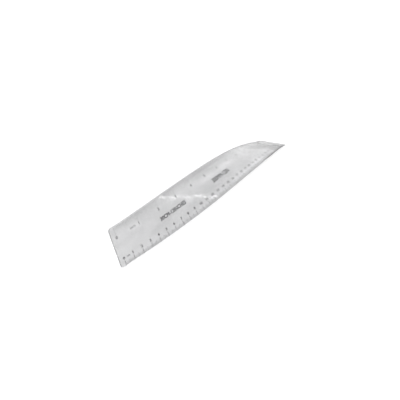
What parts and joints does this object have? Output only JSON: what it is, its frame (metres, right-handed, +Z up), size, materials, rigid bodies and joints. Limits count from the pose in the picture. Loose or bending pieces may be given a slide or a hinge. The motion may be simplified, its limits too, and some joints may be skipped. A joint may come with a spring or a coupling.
{
  "type": "flexible ruler",
  "caption": "Clear flexible plastic ruler with bevelled long edges, a centimetre scale on one edge and an inch scale on the other, shown twisted and slightly bent.",
  "frame": {"origin": "on the floor, under the middle of the flexed ruler's bounding box", "axes": "+X from the near end, with the zero marks, towards the far end; +Z up, away from the floor that three corners stand on; +Y to the left of +X, so the near end's printed face looks towards -Y"},
  "size_m": [0.3138, 0.0433, 0.0395],
  "materials": {
    "clear_plastic": "clear gloss with a light grey tint",
    "cm_ink": "printed dark grey ink",
    "inch_ink": "printed dark grey ink"
  },
  "bodies": {
    "length_01": {"blade_01": "clear_plastic", "cm_scale_01": "cm_ink", "inch_scale_01": "inch_ink"},
    "length_02": {"blade_02": "clear_plastic", "cm_scale_02": "cm_ink", "inch_scale_02": "inch_ink"},
    "length_03": {"blade_03": "clear_plastic", "cm_scale_03": "cm_ink", "inch_scale_03": "inch_ink"},
    "length_04": {"blade_04": "clear_plastic", "cm_scale_04": "cm_ink", "inch_scale_04": "inch_ink"},
    "length_05": {"blade_05": "clear_plastic", "cm_scale_05": "cm_ink", "inch_scale_05": "inch_ink"},
    "length_06": {"blade_06": "clear_plastic", "cm_scale_06": "cm_ink", "inch_scale_06": "inch_ink"},
    "length_07": {"blade_07": "clear_plastic", "cm_scale_07": "cm_ink", "inch_scale_07": "inch_ink"},
    "length_08": {"blade_08": "clear_plastic", "cm_scale_08": "cm_ink", "inch_scale_08": "inch_ink"},
    "length_09": {"blade_09": "clear_plastic", "cm_scale_09": "cm_ink", "inch_scale_09": "inch_ink"},
    "length_10": {"blade_10": "clear_plastic", "cm_scale_10": "cm_ink", "inch_scale_10": "inch_ink"},
    "length_11": {"blade_11": "clear_plastic", "cm_scale_11": "cm_ink", "inch_scale_11": "inch_ink"},
    "length_12": {"blade_12": "clear_plastic", "cm_scale_12": "cm_ink", "inch_scale_12": "inch_ink"},
    "length_13": {"blade_13": "clear_plastic", "cm_scale_13": "cm_ink", "inch_scale_13": "inch_ink"},
    "length_14": {"blade_14": "clear_plastic", "cm_scale_14": "cm_ink", "inch_scale_14": "inch_ink"},
    "length_15": {"blade_15": "clear_plastic", "cm_scale_15": "cm_ink", "inch_scale_15": "inch_ink"}
  },
  "joints": [
    {"name": "twist_07", "type": "hinge", "parent": "length_08", "child": "length_07", "pos_m": [-0.00977, -0.00594, 0.02353], "axis": [-0.9996, 0.0014, 0.0283], "range_deg": [-1.79, 23.93], "stiffness_Nm_per_rad": 0.04},
    {"name": "bend_08", "type": "hinge", "parent": "length_08", "child": "length_09", "pos_m": [0.01028, -0.00577, 0.02273], "axis": [-0.0162, -0.813, -0.582], "range_deg": [-9.36, 16.36], "stiffness_Nm_per_rad": 0.03},
    {"name": "bend_06", "type": "hinge", "parent": "length_07", "child": "length_06", "pos_m": [-0.0307, -0.00568, 0.02389], "axis": [0.02, 0.6851, 0.7281], "range_deg": [-9.36, 16.36], "stiffness_Nm_per_rad": 0.03},
    {"name": "twist_09", "type": "hinge", "parent": "length_09", "child": "length_10", "pos_m": [0.03123, -0.00523, 0.02137], "axis": [0.9963, 0.0342, -0.0783], "range_deg": [-1.79, 23.93], "stiffness_Nm_per_rad": 0.04},
    {"name": "twist_05", "type": "hinge", "parent": "length_06", "child": "length_05", "pos_m": [-0.04969, -0.00504, 0.02381], "axis": [-0.9989, 0.0448, -0.0129], "range_deg": [-1.79, 23.93], "stiffness_Nm_per_rad": 0.04},
    {"name": "bend_10", "type": "hinge", "parent": "length_10", "child": "length_11", "pos_m": [0.05013, -0.00445, 0.01964], "axis": [-0.0004, -0.9081, -0.4188], "range_deg": [-9.36, 16.36], "stiffness_Nm_per_rad": 0.03},
    {"name": "bend_04", "type": "hinge", "parent": "length_05", "child": "length_04", "pos_m": [-0.07064, -0.00383, 0.02335], "axis": [0.0116, 0.5357, 0.8443], "range_deg": [-9.36, 16.36], "stiffness_Nm_per_rad": 0.03},
    {"name": "twist_11", "type": "hinge", "parent": "length_11", "child": "length_12", "pos_m": [0.07194, -0.00327, 0.01704], "axis": [0.9892, 0.0594, -0.1339], "range_deg": [-1.79, 23.93], "stiffness_Nm_per_rad": 0.04},
    {"name": "twist_03", "type": "hinge", "parent": "length_04", "child": "length_03", "pos_m": [-0.0906, -0.00216, 0.02257], "axis": [-0.9943, 0.0965, -0.0459], "range_deg": [-1.79, 23.93], "stiffness_Nm_per_rad": 0.04},
    {"name": "bend_12", "type": "hinge", "parent": "length_12", "child": "length_13", "pos_m": [0.0907, -0.00207, 0.01424], "axis": [0.0275, -0.9711, -0.2371], "range_deg": [-9.36, 16.36], "stiffness_Nm_per_rad": 0.03},
    {"name": "bend_02", "type": "hinge", "parent": "length_03", "child": "length_02", "pos_m": [-0.1114, 0.00016, 0.02147], "axis": [-0.0093, 0.3634, 0.9316], "range_deg": [-9.36, 16.36], "stiffness_Nm_per_rad": 0.03},
    {"name": "twist_13", "type": "hinge", "parent": "length_13", "child": "length_14", "pos_m": [0.11132, -0.00059, 0.01054], "axis": [0.9788, 0.0728, -0.1913], "range_deg": [-1.79, 23.93], "stiffness_Nm_per_rad": 0.04},
    {"name": "twist_01", "type": "hinge", "parent": "length_02", "child": "length_01", "pos_m": [-0.13213, 0.00309, 0.02013], "axis": [-0.9856, 0.1544, -0.0684], "range_deg": [-1.79, 23.93], "stiffness_Nm_per_rad": 0.04},
    {"name": "bend_14", "type": "hinge", "parent": "length_14", "child": "length_15", "pos_m": [0.13091, 0.0009, 0.0064], "axis": [0.0662, -0.9966, -0.0481], "range_deg": [-9.36, 16.36], "stiffness_Nm_per_rad": 0.03}
  ],
  "couplings": [
    {"joint": "bend_06", "follows": "bend_08", "ratio": 1},
    {"joint": "twist_09", "follows": "twist_07", "ratio": 1},
    {"joint": "twist_05", "follows": "twist_07", "ratio": 1},
    {"joint": "bend_10", "follows": "bend_08", "ratio": 1},
    {"joint": "bend_04", "follows": "bend_08", "ratio": 1},
    {"joint": "twist_11", "follows": "twist_07", "ratio": 1},
    {"joint": "twist_03", "follows": "twist_07", "ratio": 1},
    {"joint": "bend_12", "follows": "bend_08", "ratio": 1},
    {"joint": "bend_02", "follows": "bend_08", "ratio": 1},
    {"joint": "twist_13", "follows": "twist_07", "ratio": 1},
    {"joint": "twist_01", "follows": "twist_07", "ratio": 1},
    {"joint": "bend_14", "follows": "bend_08", "ratio": 1}
  ]
}
